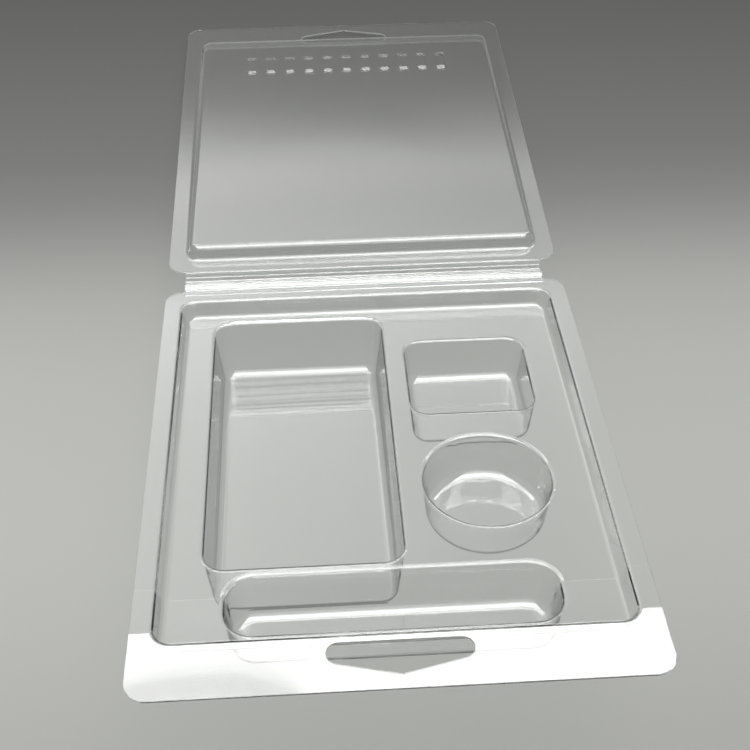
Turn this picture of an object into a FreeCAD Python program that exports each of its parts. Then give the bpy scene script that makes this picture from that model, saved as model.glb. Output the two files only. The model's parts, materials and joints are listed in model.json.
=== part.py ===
import FreeCAD, Part
import math
import os
import Sketcher

# Clear clamshell pack, thermoformed from one sheet and lying open.
# Millimetres. +X runs along the hinge, +Y towards the lid, +Z up.
# The origin is on the surface, under the middle of the pack's outline.
# Each piece is drawn in a frame of its own, on the crease that it folds about.
# Empty, the pack tips back: it rests on the deep pocket's edge and on the lid's far edge.

SIZES = [
    # the sheet, thinner where it is drawn deep, and the flange that both halves share
    ("sheet_gauge", 0.5),
    ("drawn_gauge", 0.4),
    ("flange_width", 117.0),
    ("flange_length", 145.0),
    ("flange_corner", 5.0),
    ("side_flange", 4.9),
    ("hinge_flange", 5.0),
    ("front_flange", 15.0),
    # the dish of the base and the panel of the lid that nests in it
    ("recess_depth", 5.2),
    ("recess_corner", 4.5),
    ("recess_draft", 14.0),
    ("recess_foot", 1.5),
    ("nest_clearance", 0.4),
    ("panel_gap", 0.9),
    ("rim_radius", 1.2),
    ("hollow_bevel", 0.4),
    # pockets sunk below the deck
    ("pocket_draft", 6.0),
    ("pocket_foot", 2.3),
    ("deep_pocket", 17.5),
    ("shallow_pocket", 12.8),
    # what is left of the deck round them: flat lands beside the bends, margins and gaps between outlines
    ("rear_land", 0.4),
    ("middle_land", 0.2),
    ("front_land", 1.4),
    ("left_margin", 9.45),
    ("right_margin", 10.35),
    ("column_gap", 5.8),
    # the main pocket takes the rest; a square and a round one share the right-hand column
    ("main_corner", 5.5),
    ("square_width", 33.7),
    ("square_length", 31.0),
    ("square_corner", 5.0),
    ("round_diameter", 32.4),
    ("pair_gap", 9.7),
    ("pair_shift", 1.05),
    ("long_width", 77.4),
    ("long_length", 17.4),
    ("long_corner", 7.0),
    # hang hole in the wide flange of each half
    ("hole_flat", 26.4),
    ("hole_height", 9.1),
    ("hole_end_radius", 2.9),
    ("hole_peak_radius", 1.5),
    ("hole_margin", 3.7),
    # hinge: two creases with a raised bead between them
    ("crease_depth", 2.0),
    ("closing_gap", 0.3),
    ("hinge_lip", 2.75),
    ("lip_radius", 0.9),
    ("tip_setback", 0.3),
    ("bead_radius", 1.25),
    ("fold_at_rest", 2.5),
    # row of plain raised ribs on the lid's panel, near its far edge
    ("rib_width", 3.6),
    ("rib_length", 9.0),
    ("rib_height", 0.8),
    ("rib_draft", 10.0),
    ("rib_pitch", 6.8),
    ("rib_count", 11),
    ("rib_reach", 109.5),
]

TOLERANCE = 1e-4

# lengths that follow from the sheet, as expressions
FLANGE_TOP = "Sizes.crease_depth"
FLANGE_UNDER = "Sizes.crease_depth - Sizes.sheet_gauge"
DECK_TOP = "Sizes.crease_depth - Sizes.recess_depth"
RECESS_WALL = "Sizes.sheet_gauge / cos(Sizes.recess_draft)"
POCKET_WALL = "Sizes.drawn_gauge / cos(Sizes.pocket_draft)"
PANEL_HEIGHT = "(Sizes.recess_depth - Sizes.panel_gap)"
PANEL_TOP = FLANGE_TOP + " + " + PANEL_HEIGHT
PANEL_UNDER = PANEL_TOP + " - Sizes.sheet_gauge"
SPINE_SPAN = "(2 * Sizes.crease_depth + Sizes.closing_gap)"
HINGE_HALF = "(Sizes.flange_width / 2 - Sizes.flange_corner)"
RECESS_HALF = "(Sizes.flange_width / 2 - Sizes.side_flange)"
RECESS_NEAR = "(Sizes.hinge_lip + Sizes.hinge_flange)"
RECESS_FAR = "(Sizes.hinge_lip + Sizes.flange_length - Sizes.front_flange)"
# the sheet's ends at a crease are rounded to just under half their gauge
TIP_RADIUS = "0.48 * Sizes.sheet_gauge"

# sides of the pockets' outlines at the deck: across from the middle, and away from the crease
BENDS = "(Sizes.recess_depth * tan(Sizes.recess_draft) + Sizes.recess_foot + Sizes.rim_radius)"
LONG_FAR = "(%s - %s - Sizes.front_land)" % (RECESS_FAR, BENDS)
LONG_NEAR = "(%s - Sizes.long_length)" % LONG_FAR
MAIN_NEAR = "(%s + %s + Sizes.rear_land)" % (RECESS_NEAR, BENDS)
MAIN_FAR = "(%s - 2 * Sizes.rim_radius - Sizes.middle_land)" % LONG_NEAR
MAIN_LEFT = "(Sizes.left_margin - %s)" % RECESS_HALF
SQUARE_RIGHT = "(%s - Sizes.right_margin)" % RECESS_HALF
SQUARE_LEFT = "(%s - Sizes.square_width)" % SQUARE_RIGHT
MAIN_RIGHT = "(%s - Sizes.column_gap)" % SQUARE_LEFT
PAIR_MIDDLE = "((%s + %s) / 2 + Sizes.pair_shift)" % (MAIN_NEAR, MAIN_FAR)
PAIR_HALF = "((Sizes.square_length + Sizes.pair_gap + Sizes.round_diameter) / 2)"
SQUARE_NEAR = "(%s - %s)" % (PAIR_MIDDLE, PAIR_HALF)
SQUARE_FAR = "(%s + Sizes.square_length)" % SQUARE_NEAR
ROUND_SIDE = "(%s - Sizes.square_width / 2)" % SQUARE_RIGHT
ROUND_REACH = "(%s + %s - Sizes.round_diameter / 2)" % (PAIR_MIDDLE, PAIR_HALF)

# name: depth and the sides left, right, far and near; the round one is given by its centre
POCKETS = {
    "main": ("deep_pocket", MAIN_LEFT, MAIN_RIGHT, MAIN_FAR, MAIN_NEAR),
    "square": ("shallow_pocket", SQUARE_LEFT, SQUARE_RIGHT, SQUARE_FAR, SQUARE_NEAR),
    "round": ("shallow_pocket", ROUND_SIDE, ROUND_SIDE, ROUND_REACH, ROUND_REACH),
    "long": ("shallow_pocket", "(-Sizes.long_width / 2)", "(Sizes.long_width / 2)", LONG_FAR, LONG_NEAR),
}


def make_sheet(doc):
    sheet = doc.addObject("Spreadsheet::Sheet", "Sizes")
    for row, (name, value) in enumerate(SIZES, start=1):
        sheet.set("A%d" % row, name)
        sheet.set("B%d" % row, str(value))
        sheet.setAlias("B%d" % row, name)
    doc.recompute()
    return sheet


def number(obj, expression):
    """The value of an expression as a plain number."""
    value = obj.evalExpression(expression)
    return float(getattr(value, "Value", value))


def origin_plane(body, role):
    for feature in body.Origin.OriginFeatures:
        if feature.Role == role:
            return feature
    raise RuntimeError("no plane " + role)


def new_body(doc, label):
    body = doc.addObject("PartDesign::Body", label)
    body.Label = label
    return body


def new_sketch(body, name, plane, offset="0"):
    sketch = body.newObject("Sketcher::SketchObject", name)
    sketch.AttachmentSupport = [(origin_plane(body, plane), "")]
    sketch.MapMode = "FlatFace"
    sketch.setExpression("AttachmentOffset.Base.z", offset)
    return sketch


def arc(x, y, radius, start, end):
    circle = Part.Circle(FreeCAD.Vector(x, y, 0), FreeCAD.Vector(0, 0, 1), radius)
    return Part.ArcOfCircle(circle, math.radians(start), math.radians(end))


def line(x1, y1, x2, y2):
    return Part.LineSegment(FreeCAD.Vector(x1, y1, 0), FreeCAD.Vector(x2, y2, 0))


def join(sketch, first, second, kind="Tangent"):
    """Ties the ends of two elements that meet."""
    best = None
    for end_a in (1, 2):
        for end_b in (1, 2):
            gap = sketch.getPoint(first, end_a).distanceToPoint(sketch.getPoint(second, end_b))
            if best is None or gap < best[0]:
                best = (gap, end_a, end_b)
    sketch.addConstraint(Sketcher.Constraint(kind, first, best[1], second, best[2]))


def size(sketch, expression, kind, *where):
    """A dimension of a sketch, bound to the sheet."""
    value = number(sketch, expression)
    index = sketch.addConstraint(Sketcher.Constraint(kind, *where, value))
    sketch.setExpression("Constraints[%d]" % index, expression)


def rounded_rectangle(body, name, offset, left, right, low, high, radius):
    """A rectangle with equal rounded corners; its sides are expressions."""
    sketch = new_sketch(body, name, "XY_Plane", offset)
    x1, x2, y1, y2, r = [number(sketch, text) for text in (left, right, low, high, radius)]
    sketch.addGeometry([
        line(x1 + r, y1, x2 - r, y1),
        arc(x2 - r, y1 + r, r, 270, 360),
        line(x2, y1 + r, x2, y2 - r),
        arc(x2 - r, y2 - r, r, 0, 90),
        line(x2 - r, y2, x1 + r, y2),
        arc(x1 + r, y2 - r, r, 90, 180),
        line(x1, y2 - r, x1, y1 + r),
        arc(x1 + r, y1 + r, r, 180, 270),
    ], False)
    for first in range(8):
        join(sketch, first, (first + 1) % 8)
    for side in (0, 4):
        sketch.addConstraint(Sketcher.Constraint("Horizontal", side))
    for side in (2, 6):
        sketch.addConstraint(Sketcher.Constraint("Vertical", side))
    for corner in (3, 5, 7):
        sketch.addConstraint(Sketcher.Constraint("Equal", 1, corner))
    size(sketch, radius, "Radius", 1)
    size(sketch, low, "DistanceY", -1, 1, 0, 1)
    size(sketch, right, "DistanceX", -1, 1, 2, 1)
    size(sketch, high, "DistanceY", -1, 1, 4, 1)
    size(sketch, left, "DistanceX", -1, 1, 6, 1)
    return sketch


def rectangle(body, name, plane, offset, left, right, low, high):
    """A plain rectangle; its sides are expressions."""
    sketch = new_sketch(body, name, plane, offset)
    x1, x2, y1, y2 = [number(sketch, text) for text in (left, right, low, high)]
    sketch.addGeometry([
        line(x1, y1, x2, y1),
        line(x2, y1, x2, y2),
        line(x2, y2, x1, y2),
        line(x1, y2, x1, y1),
    ], False)
    for first in range(4):
        join(sketch, first, (first + 1) % 4, "Coincident")
    for side in (0, 2):
        sketch.addConstraint(Sketcher.Constraint("Horizontal", side))
    for side in (1, 3):
        sketch.addConstraint(Sketcher.Constraint("Vertical", side))
    size(sketch, low, "DistanceY", -1, 1, 0, 1)
    size(sketch, right, "DistanceX", -1, 1, 1, 1)
    size(sketch, high, "DistanceY", -1, 1, 2, 1)
    size(sketch, left, "DistanceX", -1, 1, 3, 1)
    return sketch


def round_outline(body, name, offset, x, y, radius):
    sketch = new_sketch(body, name, "XY_Plane", offset)
    cx, cy, r = [number(sketch, text) for text in (x, y, radius)]
    sketch.addGeometry(Part.Circle(FreeCAD.Vector(cx, cy, 0), FreeCAD.Vector(0, 0, 1), r), False)
    size(sketch, radius, "Radius", 0)
    size(sketch, x, "DistanceX", -1, 1, 0, 3)
    size(sketch, y, "DistanceY", -1, 1, 0, 3)
    return sketch


def extrude(body, kind, sketch, length, draft="0", downward=False):
    """Pads or cuts a sketch up or down, narrowing by the draft angle."""
    feature = body.newObject("PartDesign::" + kind, sketch.Name + "_" + kind.lower())
    feature.Profile = sketch
    feature.setExpression("Length", length)
    feature.setExpression("TaperAngle", "-(%s)" % draft)
    feature.Reversed = downward if kind == "Pad" else not downward
    sketch.Visibility = False
    return feature


def edges_at(shape, level, inside, outside=()):
    """Names of the level edges that lie in one of the boxes and in none of the others."""
    def within(box, outline):
        left, right, low, high = outline
        return (box.XMin > left - TOLERANCE and box.XMax < right + TOLERANCE
                and box.YMin > low - TOLERANCE and box.YMax < high + TOLERANCE)

    names = []
    for index, edge in enumerate(shape.Edges, start=1):
        box = edge.BoundBox
        flat = abs(box.ZMin - level) < 1e-3 and abs(box.ZMax - level) < 1e-3
        if not flat or not any(within(box, outline) for outline in inside):
            continue
        if not any(within(box, outline) for outline in outside):
            names.append("Edge%d" % index)
    return names


def dress(body, kind, name, level, inside, outside, setting, value):
    """Adds a fillet or a chamfer on every edge at one level inside the outlines."""
    base = body.Tip
    edges = edges_at(base.Shape, number(base, level), inside, outside)
    feature = body.newObject("PartDesign::" + kind, name)
    feature.Base = (base, edges)
    feature.setExpression(setting, value)
    body.Document.recompute()


def fillet(body, name, radius, level, inside, outside=()):
    dress(body, "Fillet", name, level, inside, outside, "Radius", radius)


def bevel(body, name, width, level, inside, outside=()):
    dress(body, "Chamfer", name, level, inside, outside, "Size", width)


def grown(outline, margin):
    left, right, low, high = outline
    return (left - margin, right + margin, low - margin, high + margin)


def box_of(obj, sides):
    return tuple(number(obj, text) for text in sides)


def flange_sides(direction):
    """Outline of the flange on the side of the crease that direction gives."""
    near = "(%d * Sizes.hinge_lip)" % direction
    far = "(%d * (Sizes.hinge_lip + Sizes.flange_length))" % direction
    low, high = (near, far) if direction > 0 else (far, near)
    return ("(-Sizes.flange_width / 2)", "(Sizes.flange_width / 2)", low, high)


def recess_sides(direction, inset):
    """Outline of the recess or panel, drawn in by an inset."""
    half = "(%s - (%s))" % (RECESS_HALF, inset)
    near = "(%d * (%s + (%s)))" % (direction, RECESS_NEAR, inset)
    far = "(%d * (%s - (%s)))" % (direction, RECESS_FAR, inset)
    low, high = (near, far) if direction > 0 else (far, near)
    return ("(-%s)" % half, half, low, high)


def hang_hole(body, direction):
    """Cuts the hang hole: a flat side, two round ends and a blunt peak towards the outer edge."""
    peak = "(%d * (Sizes.hinge_lip + Sizes.flange_length - Sizes.hole_margin))" % direction
    flat = "(%s - %d * Sizes.hole_height)" % (peak, direction)
    end_centre = "(%s + %d * Sizes.hole_end_radius)" % (flat, direction)
    peak_centre = "(%s - %d * Sizes.hole_peak_radius)" % (peak, direction)
    sketch = new_sketch(body, "hang_hole", "XY_Plane", FLANGE_TOP)
    y_flat, y_end, y_peak = [number(sketch, text) for text in (flat, end_centre, peak_centre)]
    half = number(sketch, "Sizes.hole_flat / 2")
    r_end = number(sketch, "Sizes.hole_end_radius")
    r_peak = number(sketch, "Sizes.hole_peak_radius")
    # the sloping sides touch the end arcs and the peak arc on their outer side
    rise = abs(y_peak - y_end)
    slope = math.atan2(rise, half) + math.asin((r_peak - r_end) / math.hypot(half, rise))
    turn = math.degrees(slope)
    nx, ny = math.sin(slope), math.cos(slope) * direction
    if direction > 0:
        right_arc = arc(half, y_end, r_end, -90, 90 - turn)
        peak_arc = arc(0, y_peak, r_peak, 90 - turn, 90 + turn)
        left_arc = arc(-half, y_end, r_end, 90 + turn, 270)
    else:
        right_arc = arc(half, y_end, r_end, -90 + turn, 90)
        peak_arc = arc(0, y_peak, r_peak, 270 - turn, 270 + turn)
        left_arc = arc(-half, y_end, r_end, 90, 270 - turn)
    sketch.addGeometry([
        line(-half, y_flat, half, y_flat),
        right_arc,
        line(half + r_end * nx, y_end + r_end * ny, r_peak * nx, y_peak + r_peak * ny),
        peak_arc,
        line(-r_peak * nx, y_peak + r_peak * ny, -half - r_end * nx, y_end + r_end * ny),
        left_arc,
    ], False)
    for first in range(6):
        join(sketch, first, (first + 1) % 6)
    sketch.addConstraint(Sketcher.Constraint("Horizontal", 0))
    sketch.addConstraint(Sketcher.Constraint("Equal", 1, 5))
    sketch.addConstraint(Sketcher.Constraint("PointOnObject", 3, 3, -2))
    size(sketch, "Sizes.hole_end_radius", "Radius", 1)
    size(sketch, "Sizes.hole_peak_radius", "Radius", 3)
    size(sketch, "-Sizes.hole_flat / 2", "DistanceX", -1, 1, 0, 1)
    size(sketch, "Sizes.hole_flat / 2", "DistanceX", -1, 1, 0, 2)
    size(sketch, flat, "DistanceY", -1, 1, 0, 1)
    size(sketch, peak_centre, "DistanceY", -1, 1, 3, 3)
    return extrude(body, "Pocket", sketch, "2 * Sizes.sheet_gauge", downward=True)


def hinge_lip(body, direction):
    """The stepped lip that runs from the flange down to the crease."""
    middle = "(Sizes.crease_depth - Sizes.sheet_gauge / 2)"
    bend = "(Sizes.lip_radius - Sizes.sheet_gauge / 2)"
    start = "(%d * (Sizes.hinge_lip + 2 * Sizes.lip_radius))" % direction
    wall = "(%d * (Sizes.hinge_lip - Sizes.sheet_gauge / 2))" % direction
    tip = "(%d * Sizes.tip_setback)" % direction
    path = new_sketch(body, "lip_path", "YZ_Plane")
    z, r, y0, y1, y2 = [number(path, text) for text in (middle, bend, start, wall, tip)]
    out = direction
    rim_turn = (0, 90) if direction < 0 else (90, 180)
    foot_turn = (180, 270) if direction < 0 else (270, 360)
    path.addGeometry([
        line(y0, z, y1 + out * r, z),
        arc(y1 + out * r, z - r, r, *rim_turn),
        line(y1, z - r, y1, r),
        arc(y1 - out * r, r, r, *foot_turn),
        line(y1 - out * r, 0, y2, 0),
    ], False)
    for first in range(4):
        join(path, first, first + 1)
    path.addConstraint(Sketcher.Constraint("Horizontal", 0))
    path.addConstraint(Sketcher.Constraint("Vertical", 2))
    path.addConstraint(Sketcher.Constraint("Horizontal", 4))
    path.addConstraint(Sketcher.Constraint("Equal", 1, 3))
    size(path, bend, "Radius", 1)
    size(path, start, "DistanceX", -1, 1, 0, 1)
    size(path, middle, "DistanceY", -1, 1, 0, 1)
    size(path, wall, "DistanceX", -1, 1, 2, 1)
    size(path, tip, "DistanceX", -1, 1, 4, 2)
    size(path, "0", "DistanceY", -1, 1, 4, 2)
    sheet_pipe(body, path, "(-(%s))" % start, FLANGE_UNDER, FLANGE_TOP)
    round_tip(body, "lip_tip", tip)


def sheet_pipe(body, path, offset, low, high):
    """Sweeps a strip of sheet, as long as the hinge, along a path across it."""
    name = path.Name + "_strip"
    strip = rectangle(body, name, "XZ_Plane", offset, "(-%s)" % HINGE_HALF, HINGE_HALF, low, high)
    pipe = body.newObject("PartDesign::AdditivePipe", path.Name + "_sheet")
    pipe.Profile = strip
    pipe.Spine = path
    body.Document.recompute()
    return pipe


def round_tip(body, name, place):
    """Rounds the free end of the sheet beside a crease, above and below."""
    half, y = [number(body, text) for text in (HINGE_HALF, place)]
    for side, level in (("top", "Sizes.sheet_gauge / 2"), ("under", "-Sizes.sheet_gauge / 2")):
        fillet(body, "%s_%s" % (name, side), TIP_RADIUS, level, [(-half, half, y, y)])


def make_base(doc):
    """The near half: flange, shallow recess with a flat deck, and pockets below the deck."""
    body = new_body(doc, "base_tray")
    flange = rounded_rectangle(body, "flange", FLANGE_TOP, *flange_sides(-1), "Sizes.flange_corner")
    extrude(body, "Pad", flange, "Sizes.sheet_gauge", downward=True)
    hinge_lip(body, -1)

    # outer faces of the formed walls
    wall = "-" + RECESS_WALL
    outer = rounded_rectangle(body, "recess_outer", FLANGE_TOP, *recess_sides(-1, wall),
                              "Sizes.recess_corner + " + RECESS_WALL)
    extrude(body, "Pad", outer, "Sizes.recess_depth + Sizes.sheet_gauge",
            "Sizes.recess_draft", downward=True)
    for name, (depth, *_) in POCKETS.items():
        outline = pocket_outline(body, name, "outer", POCKET_WALL)
        extrude(body, "Pad", outline, "Sizes.%s + Sizes.drawn_gauge" % depth,
                "Sizes.pocket_draft", downward=True)
        # the bevel under its rim, whose lower end stays inside the wall
        margin = "(%s + Sizes.sheet_gauge + Sizes.hollow_bevel)" % POCKET_WALL
        outline = pocket_outline(body, name, "bevel", margin)
        extrude(body, "Pad", outline, "Sizes.sheet_gauge + 2 * Sizes.hollow_bevel", "45",
                downward=True)

    # inner faces, one gauge inside them
    inner = rounded_rectangle(body, "recess_inner", FLANGE_TOP, *recess_sides(-1, "0"),
                              "Sizes.recess_corner")
    extrude(body, "Pocket", inner, "Sizes.recess_depth", "Sizes.recess_draft", downward=True)
    for name, (depth, *_) in POCKETS.items():
        outline = pocket_outline(body, name, "inner", "0")
        extrude(body, "Pocket", outline, "Sizes." + depth, "Sizes.pocket_draft", downward=True)
    doc.recompute()

    round_tray(body)
    hang_hole(body, -1)
    return body


def pocket_outline(body, name, side, margin):
    """Outline of a pocket at the deck, grown by a margin."""
    left, right, far, near = POCKETS[name][1:]
    label = "%s_%s" % (name, side)
    if name == "round":
        radius = "(Sizes.round_diameter / 2 + %s)" % margin
        return round_outline(body, label, DECK_TOP, left, "-" + far, radius)
    return rounded_rectangle(
        body, label, DECK_TOP,
        "(%s - %s)" % (left, margin), "(%s + %s)" % (right, margin),
        "(-%s - %s)" % (far, margin), "(-%s + %s)" % (near, margin),
        "(Sizes.%s_corner + %s)" % (name, margin))


def pocket_box(body, name):
    """Plan box of a pocket at the deck, as numbers."""
    left, right, far, near = [number(body, text) for text in POCKETS[name][1:]]
    box = (left, right, -far, -near)
    return grown(box, number(body, "Sizes.round_diameter / 2")) if name == "round" else box


def round_tray(body):
    """Rounds the bends of the tray; the hollow sides of the rims, which stay hidden, are bevelled."""
    gauge = number(body, "Sizes.sheet_gauge")
    recess = box_of(body, recess_sides(-1, "0"))
    around = grown(recess, 2 * gauge)
    rims = [grown(pocket_box(body, name), 2 * gauge) for name in POCKETS]
    deck_under = DECK_TOP + " - Sizes.sheet_gauge"
    fillet(body, "deck_foot", "Sizes.recess_foot", DECK_TOP, [around], rims)
    bevel(body, "flange_hollow", "Sizes.hollow_bevel", FLANGE_UNDER, [around])
    for depth in ("deep_pocket", "shallow_pocket"):
        floor = DECK_TOP + " - Sizes." + depth
        fillet(body, depth + "_foot", "Sizes.pocket_foot", floor, rims)
    fillet(body, "deck_corner", "Sizes.recess_foot + Sizes.sheet_gauge", deck_under, [around], rims)
    fillet(body, "flange_rim", "Sizes.rim_radius", FLANGE_TOP, [around])
    fillet(body, "deck_rim", "Sizes.rim_radius", DECK_TOP, rims)
    for depth in ("deep_pocket", "shallow_pocket"):
        floor = DECK_TOP + " - Sizes." + depth + " - Sizes.drawn_gauge"
        fillet(body, depth + "_corner", "Sizes.pocket_foot + Sizes.drawn_gauge", floor, rims)


def make_lid(doc):
    """The far half: the same flange, with a raised panel that nests in the recess."""
    body = new_body(doc, "lid")
    flange = rounded_rectangle(body, "flange", FLANGE_TOP, *flange_sides(1), "Sizes.flange_corner")
    extrude(body, "Pad", flange, "Sizes.sheet_gauge", downward=True)
    hinge_lip(body, 1)

    inset = "Sizes.nest_clearance"
    outer = rounded_rectangle(body, "panel_outer", FLANGE_TOP, *recess_sides(1, inset),
                              "Sizes.recess_corner - " + inset)
    extrude(body, "Pad", outer, PANEL_HEIGHT, "Sizes.recess_draft")
    hollow = "(%s + %s - Sizes.sheet_gauge * tan(Sizes.recess_draft))" % (inset, RECESS_WALL)
    inner = rounded_rectangle(body, "panel_inner", FLANGE_UNDER, *recess_sides(1, hollow),
                              "Sizes.recess_corner - " + hollow)
    extrude(body, "Pocket", inner, PANEL_HEIGHT, "Sizes.recess_draft")
    doc.recompute()

    around = grown(box_of(body, recess_sides(1, "0")), number(body, "Sizes.sheet_gauge"))
    foot = "Sizes.rim_radius"
    fillet(body, "panel_foot", foot, FLANGE_TOP, [around])
    fillet(body, "panel_hollow", "Sizes.recess_foot", PANEL_UNDER, [around])
    fillet(body, "panel_corner", "Sizes.recess_foot + Sizes.sheet_gauge", PANEL_TOP, [around])
    fillet(body, "flange_corner", foot + " + Sizes.sheet_gauge", FLANGE_UNDER, [around])
    panel_ribs(body)
    hang_hole(body, 1)
    return body


def panel_ribs(body):
    """A row of equal ribs pressed up out of the panel, hollow underneath."""
    middle = "(-(Sizes.rib_count - 1) / 2 * Sizes.rib_pitch)"
    reach = "(Sizes.hinge_lip + Sizes.rib_reach)"
    outlines = []
    faces = (("rib", PANEL_TOP, "0"), ("rib_hollow", PANEL_UNDER, "Sizes.sheet_gauge"))
    for name, level, margin in faces:
        half_x = "(Sizes.rib_width / 2 - %s)" % margin
        half_y = "(Sizes.rib_length / 2 - %s)" % margin
        outlines.append(rectangle(
            body, name, "XY_Plane", level,
            "(%s - %s)" % (middle, half_x), "(%s + %s)" % (middle, half_x),
            "(%s - %s)" % (reach, half_y), "(%s + %s)" % (reach, half_y)))
    pad = extrude(body, "Pad", outlines[0], "Sizes.rib_height", "Sizes.rib_draft")
    cut = extrude(body, "Pocket", outlines[1], "Sizes.rib_height", "Sizes.rib_draft")
    row = body.newObject("PartDesign::LinearPattern", "rib_row")
    row.Originals = [pad, cut]
    row.Direction = (outlines[0], ["H_Axis"])
    row.setExpression("Length", "(Sizes.rib_count - 1) * Sizes.rib_pitch")
    row.setExpression("Occurrences", "Sizes.rib_count")
    body.Tip = row


def make_spine(doc):
    """The narrow web between the two creases, formed as a low bead."""
    body = new_body(doc, "hinge_spine")
    start = "Sizes.tip_setback"
    end = "(%s - Sizes.tip_setback)" % SPINE_SPAN
    path = new_sketch(body, "bead_path", "YZ_Plane")
    y0, y3, r = [number(path, text) for text in (start, end, "Sizes.bead_radius")]
    turn = math.asin((y3 - y0) / (4 * r))
    angle = math.degrees(turn)
    step = r * math.sin(turn)
    crown = r * (1 - 2 * math.cos(turn))
    path.addGeometry([
        arc(y0, r, r, 270, 270 + angle),
        arc(y0 + 2 * step, crown, r, 90 - angle, 90 + angle),
        arc(y3, r, r, 270 - angle, 270),
    ], False)
    join(path, 0, 1)
    join(path, 1, 2)
    path.addConstraint(Sketcher.Constraint("Equal", 0, 1))
    path.addConstraint(Sketcher.Constraint("Equal", 0, 2))
    size(path, "Sizes.bead_radius", "Radius", 0)
    size(path, start, "DistanceX", -1, 1, 0, 3)
    size(path, start, "DistanceX", -1, 1, 0, 1)
    size(path, "0", "DistanceY", -1, 1, 0, 1)
    size(path, end, "DistanceX", -1, 1, 2, 3)
    size(path, end, "DistanceX", -1, 1, 2, 2)
    size(path, "0", "DistanceY", -1, 1, 2, 2)
    sheet_pipe(body, path, "(-%s)" % start, "(-Sizes.sheet_gauge / 2)", "(Sizes.sheet_gauge / 2)")
    round_tip(body, "base_tip", start)
    round_tip(body, "lid_tip", end)
    return body


def turned(y, z, angle):
    """A point of the YZ plane turned about the origin, from +Y towards +Z."""
    c = math.cos(math.radians(angle))
    s = math.sin(math.radians(angle))
    return y * c - z * s, y * s + z * c


def tip_back(sheet):
    """The angle that brings the deep pocket's edge and the lid's far edge down to one level."""
    draft = math.radians(sheet.get("pocket_draft"))
    gauge = sheet.get("drawn_gauge")
    corner = sheet.get("pocket_foot") + gauge
    # centre of the round edge under the hinge side of the deep pocket
    depth = sheet.get("deep_pocket") + gauge - corner
    y_edge = (gauge - corner) / math.cos(draft) - depth * math.tan(draft) - number(sheet, MAIN_NEAR)
    z_edge = number(sheet, DECK_TOP) - depth
    # underside of the lid's far edge
    fold = sheet.get("fold_at_rest")
    reach = sheet.get("hinge_lip") + sheet.get("flange_length")
    y_lid, z_lid = turned(reach, number(sheet, FLANGE_UNDER), 2 * fold)
    y_spine, z_spine = turned(number(sheet, SPINE_SPAN), 0, fold)
    across = y_spine + y_lid - y_edge
    up = z_spine + z_lid - z_edge
    return math.degrees(math.atan2(up, across) + math.asin(corner / math.hypot(across, up)))


def assemble(sheet, base, spine, lid):
    """Sets the pieces on their creases at rest, standing on z = 0 and centred on the origin."""
    fold = sheet.get("fold_at_rest")
    back = tip_back(sheet)
    lid_crease = turned(number(sheet, SPINE_SPAN), 0, fold - back)
    creases = {base: (0, 0), spine: (0, 0), lid: lid_crease}
    angles = {base: -back, spine: fold - back, lid: 2 * fold - back}
    along = FreeCAD.Vector(1, 0, 0)
    boxes = []
    for body, (y, z) in creases.items():
        rotation = FreeCAD.Rotation(along, angles[body])
        body.Placement = FreeCAD.Placement(FreeCAD.Vector(0, y, z), rotation)
        boxes.append(body.Shape.optimalBoundingBox(False, False))
    middle = (min(box.YMin for box in boxes) + max(box.YMax for box in boxes)) / 2
    lowest = min(box.ZMin for box in boxes)
    for body in creases:
        body.Placement.Base -= FreeCAD.Vector(0, middle, lowest)
        base_point = body.Placement.Base
        print("%-12s crease at y %.4f z %.4f, turned %.4f" % (
            body.Label, base_point.y, base_point.z, angles[body]))


def check(doc):
    for obj in doc.Objects:
        if "Invalid" in obj.State or "Error" in obj.State:
            raise RuntimeError("%s failed: %s" % (obj.Name, obj.State))


def export(bodies):
    os.makedirs("parts", exist_ok=True)
    for body in bodies:
        shape = body.Shape
        if shape.isNull() or not shape.isValid() or len(shape.Solids) != 1:
            raise RuntimeError(body.Label + " isn't one valid solid")
        shape.exportStep("parts/%s.step" % body.Label)
        box = shape.BoundBox
        print("%-12s volume %9.1f  x %7.2f %7.2f  y %7.2f %7.2f  z %6.2f %6.2f" % (
            body.Label, shape.Volume, box.XMin, box.XMax, box.YMin, box.YMax, box.ZMin, box.ZMax))


def main():
    doc = FreeCAD.newDocument("clamshell_pack")
    sheet = make_sheet(doc)
    base = make_base(doc)
    spine = make_spine(doc)
    lid = make_lid(doc)
    doc.recompute()
    check(doc)
    assemble(sheet, base, spine, lid)
    export([base, spine, lid])


main()
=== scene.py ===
import json
from math import cos, degrees, radians, sin

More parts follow.
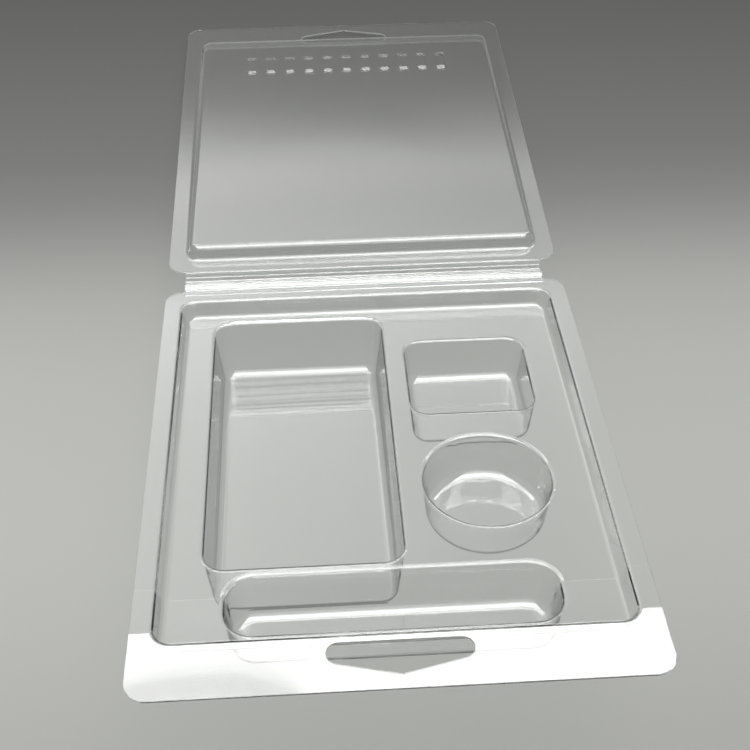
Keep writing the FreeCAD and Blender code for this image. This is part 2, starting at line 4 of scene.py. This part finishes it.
import bmesh
import bpy
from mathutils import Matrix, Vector


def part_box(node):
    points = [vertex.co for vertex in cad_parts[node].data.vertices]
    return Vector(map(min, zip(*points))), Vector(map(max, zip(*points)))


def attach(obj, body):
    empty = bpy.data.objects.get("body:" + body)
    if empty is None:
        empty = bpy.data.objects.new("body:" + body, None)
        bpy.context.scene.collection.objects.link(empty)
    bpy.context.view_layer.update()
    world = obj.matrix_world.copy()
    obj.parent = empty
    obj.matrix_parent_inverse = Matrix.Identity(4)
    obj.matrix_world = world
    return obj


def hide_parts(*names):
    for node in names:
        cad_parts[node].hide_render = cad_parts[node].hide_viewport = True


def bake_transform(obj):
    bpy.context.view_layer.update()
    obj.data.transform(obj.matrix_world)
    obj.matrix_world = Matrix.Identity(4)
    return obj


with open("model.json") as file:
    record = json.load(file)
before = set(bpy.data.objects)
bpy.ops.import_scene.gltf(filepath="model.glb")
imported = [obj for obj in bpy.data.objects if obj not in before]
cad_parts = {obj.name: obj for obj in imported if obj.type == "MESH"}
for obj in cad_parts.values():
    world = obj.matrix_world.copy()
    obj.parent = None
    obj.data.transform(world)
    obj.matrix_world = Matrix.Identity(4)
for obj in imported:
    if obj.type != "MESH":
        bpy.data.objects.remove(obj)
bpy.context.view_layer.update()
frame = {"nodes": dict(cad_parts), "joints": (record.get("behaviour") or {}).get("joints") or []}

creaseAt = {joint["name"]: Vector(joint["pos_m"]) for joint in frame["joints"]}


# wraps a shader socket, so that sums on values add their own Math nodes
class Wire:
    def __init__(self, maker, socket):
        self.maker = maker
        self.socket = socket

    def math(self, operation, *others, clamp=False):
        values = dict(enumerate((self,) + others))
        return self.maker.add("ShaderNodeMath", {"operation": operation, "use_clamp": clamp}, values)

    def __add__(self, other):
        return self.math("ADD", other)

    def __mul__(self, other):
        return self.math("MULTIPLY", other)

    def __sub__(self, other):
        return self.math("SUBTRACT", other)

    def __rsub__(self, other):
        return self.maker.add("ShaderNodeMath", {"operation": "SUBTRACT"}, {0: other, 1: self})

    def __gt__(self, other):
        return self.math("GREATER_THAN", other)

    def __lt__(self, other):
        return self.math("LESS_THAN", other)

    __radd__ = __add__
    __rmul__ = __mul__


# one node tree, a material's or the world's
class Finish:
    def __init__(self, owner, output="ShaderNodeOutputMaterial"):
        self.owner = owner
        owner.use_nodes = True
        self.tree = owner.node_tree
        self.tree.nodes.clear()
        self.output = self.tree.nodes.new(output)

    def add(self, kind, settings=None, values=None, output=0):
        node = self.tree.nodes.new(kind)
        for key, value in (settings or {}).items():
            if key == "stops":
                self.setStops(node.color_ramp, value)
            else:
                setattr(node, key, value)
        for key, value in (values or {}).items():
            if isinstance(value, Wire):
                self.tree.links.new(value.socket, node.inputs[key])
            else:
                node.inputs[key].default_value = value
        return Wire(self, node.outputs[output])

    def setStops(self, ramp, stops):
        ramp.interpolation = "B_SPLINE"
        while len(ramp.elements) < len(stops):
            ramp.elements.new(1.0)
        for element, (place, grey) in zip(ramp.elements, stops):
            element.position = place
            element.color = (grey, grey, grey, 1.0)

    # a grey level that follows a coordinate, from stops given as (coordinate, level)
    def levels(self, coordinate, stops, scale=1.0):
        low, high = stops[0][0], stops[-1][0]
        share = self.add("ShaderNodeMapRange", {}, {0: coordinate, 1: low, 2: high, 3: 0.0, 4: 1.0})
        placed = [((at - low) / (high - low), level / scale) for at, level in stops]
        return self.add("ShaderNodeValToRGB", {"stops": placed}, {0: share}) * scale

    def objectAxis(self, axis):
        place = self.add("ShaderNodeTexCoord", output="Object")
        return self.add("ShaderNodeSeparateXYZ", {}, {0: place}, output=axis)

    def noise(self, place, scale, detail):
        return self.add("ShaderNodeTexNoise", {}, {"Vector": place, "Scale": scale, "Detail": detail})

    def close(self, surface):
        self.tree.links.new(surface.socket, self.output.inputs["Surface"])
        return self.owner


# clear sheet: glass-clear and glossy, with the slow waves of a formed sheet
clearSheetFinish = {
    "tint": (0.955, 0.962, 0.96, 1.0),
    "roughness": 0.0,
    "ior": 1.57,
    "waveScale": 22.0,       # per metre
    "waveDetail": 0.0,
    "waveHeight": 0.00015,   # metres, peak to peak
    "flangeHeight": 0.0011,  # more of it on the base's wide front flange
    "flangeFrom": -0.118,    # metres along Y, where that starts
    "flangeFade": 0.012,     # and over how much of Y it comes in
    "rippleScale": 70.0,
    "rippleDetail": 1.0,
    "rippleHeight": 0.000006,
    "shade": (0.945, 0.95, 0.95, 1.0),  # what a lamp's light keeps through one face
}


def clearSheetMaterial():
    look = clearSheetFinish
    made = Finish(bpy.data.materials.new("clear_sheet"))
    place = made.add("ShaderNodeTexCoord", output="Object")
    wave = made.noise(place, look["waveScale"], look["waveDetail"])
    ripple = made.noise(place, look["rippleScale"], look["rippleDetail"])
    reach = look["flangeFrom"] - made.objectAxis("Y")
    onFlange = (reach * (1 / look["flangeFade"])).math("MINIMUM", 1.0).math("MAXIMUM", 0.0)
    waveHeight = onFlange * look["flangeHeight"] + look["waveHeight"]
    height = wave * waveHeight + ripple * look["rippleHeight"]
    bump = made.add("ShaderNodeBump", {}, {"Strength": 1.0, "Distance": 1.0, "Height": height})
    sheet = made.add("ShaderNodeBsdfPrincipled", {}, {
        "Base Color": look["tint"],
        "Roughness": look["roughness"],
        "IOR": look["ior"],
        "Transmission Weight": 1.0,
        "Normal": bump,
    })
    # light on its way to or from the floor goes straight through
    opening = made.add("ShaderNodeBsdfTransparent", {}, {"Color": look["shade"]})
    shadowRay = made.add("ShaderNodeLightPath", output="Is Shadow Ray")
    scattered = made.add("ShaderNodeLightPath", output="Diffuse Depth")
    straight = shadowRay.math("ADD", scattered, clamp=True)
    return made.close(made.add("ShaderNodeMixShader", {}, {0: straight, 1: sheet, 2: opening}))


# the edge that the cutter leaves: slightly frosted, so it shows as a thin pale line
cutEdgeFinish = {
    "colour": (0.90, 0.92, 0.91, 1.0),
    "roughness": 0.55,
    "roughnessVaries": 0.2,
    "grain": 1500.0,         # per metre
    "grainDetail": 1.0,
    "grainHeight": 0.00003,
    "grainStrength": 0.5,
}


def cutEdgeMaterial():
    look = cutEdgeFinish
    made = Finish(bpy.data.materials.new("cut_edge"))
    place = made.add("ShaderNodeTexCoord", output="Object")
    grain = made.noise(place, look["grain"], look["grainDetail"])
    bump = made.add("ShaderNodeBump", {}, {
        "Strength": look["grainStrength"],
        "Distance": 1.0,
        "Height": grain * look["grainHeight"],
    })
    return made.close(made.add("ShaderNodeBsdfPrincipled", {}, {
        "Base Color": look["colour"],
        "Roughness": grain * look["roughnessVaries"] + look["roughness"],
        "Normal": bump,
    }))


# the floor: matte grey with painted shade where the light falls off, paler near the viewer; levels are
# (metres along Y, grey level)
floorFinish = {
    "size": 4.0,
    "below": 0.0002,         # clear of the lid's far edge
    # painted shade: the levels darken the floor far off, and a little at its near edge, as the light falls
    # off
    "levels": [(-0.30, 0.40), (-0.14, 0.45), (-0.095, 0.52), (-0.06, 0.52), (-0.02, 0.49), (0.01, 0.43),
               (0.03, 0.34), (0.05, 0.25), (0.075, 0.195), (0.12, 0.155), (0.17, 0.12), (0.40, 0.10)],
    # painted shade: the floor also darkens to the right
    "paintedRightFalloff": 0.4,        # share lost per metre to the right
    "sideMost": 0.1,         # and the most that it takes or adds
    "plainFrom": 0.3,        # metres to each side, where one plain level starts to take over
    "plainFade": 0.5,
    "plainLevel": 0.42,
    # painted reflection: where the sheet's gloss mirrors the floor, it shows this one pale level
    "mirrored": 0.50,        # its level as the gloss of the sheet shows it
    "green": 1.005,          # against red
    "blue": 0.965,
}


def makeFloor():
    look = floorFinish
    made = Finish(bpy.data.materials.new("floor"))
    grey = made.levels(made.objectAxis("Y"), look["levels"])
    across = made.objectAxis("X")
    side = across * look["paintedRightFalloff"]
    side = side.math("MAXIMUM", -look["sideMost"]).math("MINIMUM", look["sideMost"])
    away = (across.math("ABSOLUTE") - look["plainFrom"]) * (1 / look["plainFade"])
    plain = away.math("MAXIMUM", 0.0).math("MINIMUM", 1.0)
    # painted falloff shade along Y and to the right, fading into one plain level far to each side
    paintedFalloffLevel = grey * (1 - side) * (1 - plain) + plain * look["plainLevel"]
    # painted reflection: the sheet's gloss sees the floor at one pale level instead of its own shade
    mirrored = made.add("ShaderNodeLightPath", output="Glossy Depth") > 0.5
    shade = paintedFalloffLevel * (1 - mirrored) + mirrored * look["mirrored"]
    tinted = {0: shade, 1: shade * look["green"], 2: shade * look["blue"]}
    colour = made.add("ShaderNodeCombineColor", {}, tinted)
    matte = made.add("ShaderNodeBsdfDiffuse", {}, {"Color": colour})
    bpy.ops.mesh.primitive_plane_add(size=look["size"], location=(0, 0, -look["below"]))
    floor = bpy.context.object
    floor.name = "floor"
    bpy.ops.object.transform_apply(location=True, rotation=False, scale=False)
    floor.data.materials.append(made.close(matte))


def pickNothing():
    bpy.ops.object.select_all(action="DESELECT")


# in edit mode: selects the points of a piece that a test on their place picks
def pickPoints(piece, wanted):
    mesh = bmesh.from_edit_mesh(piece.data)
    for point in mesh.verts:
        point.select = bool(wanted(point.co))
    mesh.select_flush_mode()
    bmesh.update_edit_mesh(piece.data)


# the camera, fitted to the outlines of both halves
cameraSetup = {
    "lens": 60.91,
    "sensor": 36.0,
    "location": (-0.01522, -0.26088, 0.29648),
    "turn": (38.686, -0.494, -3.526),  # degrees
    "near": 0.01,
}


def makeCamera():
    setup = cameraSetup
    turn = [radians(angle) for angle in setup["turn"]]
    bpy.ops.object.camera_add(location=setup["location"], rotation=turn)
    camera = bpy.context.object
    camera.data.lens = setup["lens"]
    camera.data.sensor_width = setup["sensor"]
    camera.data.clip_start = setup["near"]
    bpy.context.scene.camera = camera


# one soft lamp high up behind, pointed at the pack, and the even light of a pale room
lightSetup = {
    "place": (0.3, 0.9, 1.9),
    "across": 1.2,
    "watts": 26.0,
    "roomColour": (0.93, 0.94, 0.93, 1.0),
    "roomStrength": 0.55,
}


def makeLights():
    look = lightSetup
    place = Vector(look["place"])
    turn = place.to_track_quat("Z", "Y").to_euler()
    bpy.ops.object.light_add(type="AREA", location=place, rotation=turn)
    lamp = bpy.context.object
    lamp.name = "highLamp"
    lamp.data.shape = "SQUARE"
    lamp.data.size = look["across"]
    lamp.data.energy = look["watts"]
    lamp.visible_camera = False
    lamp.visible_transmission = False
    room = bpy.data.worlds.new("room")
    bpy.context.scene.world = room
    made = Finish(room, "ShaderNodeOutputWorld")
    made.close(made.add("ShaderNodeBackground", {}, {
        "Color": look["roomColour"],
        "Strength": look["roomStrength"],
    }))


# a glowing white cove behind and above, no lamp, which only shows in the gloss and paints the sheet's
# highlights and
# reflections: its section is (y, z) in metres, its levels are (metres up, brightness), and overhead is
# (degrees up from the far side, what is left of the level)
paintedHighlightCoveSetup = {
    "section": [(0.42, -0.01), (0.42, 0.70), (0.15, 1.0), (-0.55, 1.0), (-0.90, 0.75), (-1.10, 0.30)],
    "halfWidth": 0.7,
    # painted highlights: bright bands by height, as the sheet's gloss shows them
    "levels": [(0.0, 0.35), (0.14, 0.38), (0.155, 0.45), (0.17, 0.6), (0.185, 1.0), (0.20, 1.75),
               (0.215, 2.1), (0.24, 1.85), (0.28, 1.5), (0.34, 1.25), (0.45, 1.25), (0.466, 1.3),
               (0.478, 8.5), (0.548, 8.5), (0.560, 4.2), (0.600, 4.2), (0.62, 8.5), (1.0, 8.5)],
    "brightest": 10.0,       # over the highest level
    "overhead": [(0, 1.0), (57, 1.0), (60, 0.38), (78, 0.38), (82, 1.0), (116, 1.0), (121, 0.3), (180, 0.25)],
    # painted shade in the reflections: the glow is dimmer to the right
    "paintedRightFalloff": 2.0,        # share lost per metre to the right, below the brightest part
    "sideFrom": -0.1,        # metres along X, the stretch over which it is lost
    "sideTo": 0.18,
    "brightFrom": 0.472,     # metres up
    # painted shade in the reflections: the near part shows dimmer in a reflection of a reflection
    "twiceMirrored": 0.3,    # what a reflection of a reflection shows of the part near the camera
    "nearPart": -0.3,        # metres along Y
    "glow": (1.0, 1.0, 0.985, 1.0),
}


def makePaintedHighlightCove():
    look = paintedHighlightCoveSetup
    made = Finish(bpy.data.materials.new("paintedHighlightCove"))
    up = made.objectAxis("Z")
    lower = look["brightFrom"] > up
    side = made.objectAxis("X").math("MAXIMUM", look["sideFrom"]).math("MINIMUM", look["sideTo"])
    mirrored = made.add("ShaderNodeLightPath", output="Glossy Depth")
    near = look["nearPart"] > made.objectAxis("Y")
    dimmer = (mirrored > 1.5) * near * (1 - look["twiceMirrored"])
    turn = up.math("ARCTAN2", made.objectAxis("Y")) * degrees(1.0)
    level = made.levels(up, look["levels"], look["brightest"]) * made.levels(turn, look["overhead"])
    # painted dimming of the glow, to the right and in twice-mirrored views
    level = level * (1 - lower * side * look["paintedRightFalloff"]) * (1 - dimmer)
    glow = made.add("ShaderNodeEmission", {}, {"Color": look["glow"], "Strength": level})
    unseen = made.add("ShaderNodeBsdfTransparent")
    scattered = made.add("ShaderNodeLightPath", output="Diffuse Depth")
    reflected = (mirrored > 0.5) * (1 - scattered.math("MINIMUM", 1.0))
    surface = made.add("ShaderNodeMixShader", {}, {0: reflected, 1: unseen, 2: glow})
    material = made.close(surface)
    # its glow lights nothing: it only paints highlights and reflections in the sheet's gloss
    material.cycles.emission_sampling = "NONE"
    # one edge of a plane, drawn out along the section
    section = look["section"]
    startY, startZ = section[0]
    pickNothing()
    bpy.ops.mesh.primitive_plane_add(size=2 * look["halfWidth"])
    paintedHighlightCove = bpy.context.object
    paintedHighlightCove.name = "paintedHighlightCove"
    bpy.ops.object.mode_set(mode="EDIT")
    pickPoints(paintedHighlightCove, lambda at: at.y < 0)
    bpy.ops.mesh.delete(type="VERT")
    pickPoints(paintedHighlightCove, lambda at: True)
    bpy.ops.transform.translate(value=(0, startY - look["halfWidth"], startZ))
    for (y, z), (nextY, nextZ) in zip(section, section[1:]):
        bpy.ops.mesh.extrude_region_move(TRANSFORM_OT_translate={"value": (0, nextY - y, nextZ - z)})
    bpy.ops.object.mode_set(mode="OBJECT")
    paintedHighlightCove.data.materials.append(material)


# each half and the web between them, as one smooth skin: its name, its body and the creases between it and
# the base
sheetSetup = {
    "pieces": {"base_tray": ("traySheet", "base", 0), "hinge_spine": ("webSheet", "spine", 1),
               "lid": ("lidSheet", "lid", 2)},
    "lean": 12.0445,         # degrees, how far the base leans back
    "leanPerCrease": 2.5,    # and how much less past each crease
    "weld": 0.000002,        # metres
    "bendAngle": 40.0,       # a steeper edge stays sharp
    "flatAngle": 0.15,       # faces this level with each other are one flat stretch
    "flatWidth": 0.00095,    # metres; a narrower stretch is a strip of a bend
    "flatWeight": 100,       # how far the large faces set the shading of their rims
    "edgeSquare": 0.02,      # a face this square to the sheet is its cut edge
    "edgeLeast": 0.00012,    # metres; a narrower face is no edge
}


# in edit mode: selects the flat stretches of a sheet, but not the strips of its bends
def pickFlats(sheet):
    look = sheetSetup
    mesh = bmesh.from_edit_mesh(sheet.data)
    left = set(mesh.faces)
    while left:
        stretch = [left.pop()]
        for face in stretch:
            beside = {other for edge in face.edges for other in edge.link_faces} & left
            for other in beside:
                if other.normal.angle(face.normal, 0.0) < radians(look["flatAngle"]):
                    left.discard(other)
                    stretch.append(other)
        points = [point.co for face in stretch for point in face.verts]
        spans = [max(at[axis] for at in points) - min(at[axis] for at in points) for axis in range(3)]
        width = sum(face.calc_area() for face in stretch) / Vector(spans).length
        for face in stretch:
            face.select_set(width > look["flatWidth"])
    bmesh.update_edit_mesh(sheet.data)


def makeSheet(nodeName, sheetName, body, creases):
    node = frame["nodes"][nodeName]
    sheet = bpy.data.objects.new(sheetName, node.data.copy())
    bpy.context.collection.objects.link(sheet)
    pickNothing()
    sheet.select_set(True)
    bpy.context.view_layer.objects.active = sheet
    bpy.ops.object.mode_set(mode="EDIT")
    bpy.ops.mesh.select_all(action="SELECT")
    bpy.ops.mesh.remove_doubles(threshold=sheetSetup["weld"])
    bpy.ops.mesh.select_all(action="DESELECT")
    bpy.ops.mesh.select_mode(type="FACE")
    pickFlats(sheet)
    bpy.ops.mesh.mod_weighted_strength(set=True, face_strength="STRONG")
    bpy.ops.mesh.select_mode(type="VERT")
    bpy.ops.object.mode_set(mode="OBJECT")
    bpy.ops.object.shade_smooth_by_angle(angle=radians(sheetSetup["bendAngle"]))
    flatten = sheet.modifiers.new("flatFaces", "WEIGHTED_NORMAL")
    flatten.weight = sheetSetup["flatWeight"]
    flatten.keep_sharp = True
    flatten.use_face_influence = True
    bpy.ops.object.modifier_apply(modifier="flatFaces")
    sheet.data.materials.clear()
    sheet.data.materials.append(clearSheet)
    sheet.data.materials.append(cutEdge)
    lean = radians(sheetSetup["lean"] - creases * sheetSetup["leanPerCrease"])
    through = Vector((0, sin(lean), cos(lean)))
    for face in sheet.data.polygons:
        square = abs(face.normal.dot(through)) < sheetSetup["edgeSquare"]
        places = [sheet.data.vertices[point].co for point in face.vertices]
        longest = max((end - start).length for start, end in zip(places, places[1:] + places[:1]))
        face.material_index = int(square and face.area > sheetSetup["edgeLeast"] * longest)
    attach(sheet, body)
    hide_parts(nodeName)
    print(sheetName, len(sheet.data.polygons), "faces")


# the film left at each crease, where the two sides bend: its name, joint and the bodies it joins
filmSetup = {
    "pieces": [("baseCrease", "base_fold", "base", "spine"), ("lidCrease", "lid_fold", "spine", "lid")],
    "across": 0.0012,        # metres, over the crease
    "thick": 0.00026,
    "waist": 0.7,            # share of the thickness left in the middle
    "endGap": 0.0004,        # back from the web's ends
    "lean": 10.0,            # degrees, about the web's
    "bendHalf": 0.0004,      # the bend is this far each side of the crease
    "cuts": 5,
    "middleHalf": 0.0001,    # finds the middle row of points
    "smoothAngle": 40.0,     # its outer edges stay sharp
}


def makeFilm(filmName, joint, nearBody, farBody):
    look = filmSetup
    low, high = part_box("hinge_spine")
    middle = creaseAt[joint]
    width = high[0] - low[0] - 2 * look["endGap"]
    lean = radians(look["lean"])
    pickNothing()
    bpy.ops.mesh.primitive_cube_add(size=1.0)
    film = bpy.context.object
    film.name = filmName
    bpy.ops.object.mode_set(mode="EDIT")
    bpy.ops.transform.resize(value=(width, look["across"], look["thick"]))
    mesh = bmesh.from_edit_mesh(film.data)
    for edge in mesh.edges:
        start, end = edge.verts
        edge.select_set(abs(start.co.y - end.co.y) > look["across"] / 2)
    bmesh.update_edit_mesh(film.data)
    bpy.ops.mesh.subdivide(number_cuts=look["cuts"])
    pickPoints(film, lambda at: abs(at.y) < look["middleHalf"])
    bpy.ops.transform.resize(value=(1, 1, look["waist"]))
    bpy.ops.object.mode_set(mode="OBJECT")
    film.rotation_euler = (-lean, 0, 0)
    film.location = ((low[0] + high[0]) / 2, middle.y, middle.z)
    bpy.ops.object.transform_apply(location=True, rotation=True, scale=True)
    bpy.ops.object.shade_smooth_by_angle(angle=radians(look["smoothAngle"]))
    film.data.materials.append(clearSheet)
    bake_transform(film)


pickNothing()
makeCamera()
makeLights()
makeFloor()
makePaintedHighlightCove()
print("stage ready")

clearSheet = clearSheetMaterial()
cutEdge = cutEdgeMaterial()
for nodeName, (sheetName, body, creases) in sheetSetup["pieces"].items():
    makeSheet(nodeName, sheetName, body, creases)
print("sheets ready")

for film in filmSetup["pieces"]:
    makeFilm(*film)
print("crease films ready")

# light goes to and fro inside the clear sheet many times
bounceLimit = 32
scene = bpy.context.scene
scene.view_settings.view_transform = "Standard"
scene.cycles.max_bounces = bounceLimit
scene.cycles.glossy_bounces = bounceLimit
scene.cycles.transmission_bounces = bounceLimit
scene.cycles.transparent_max_bounces = bounceLimit
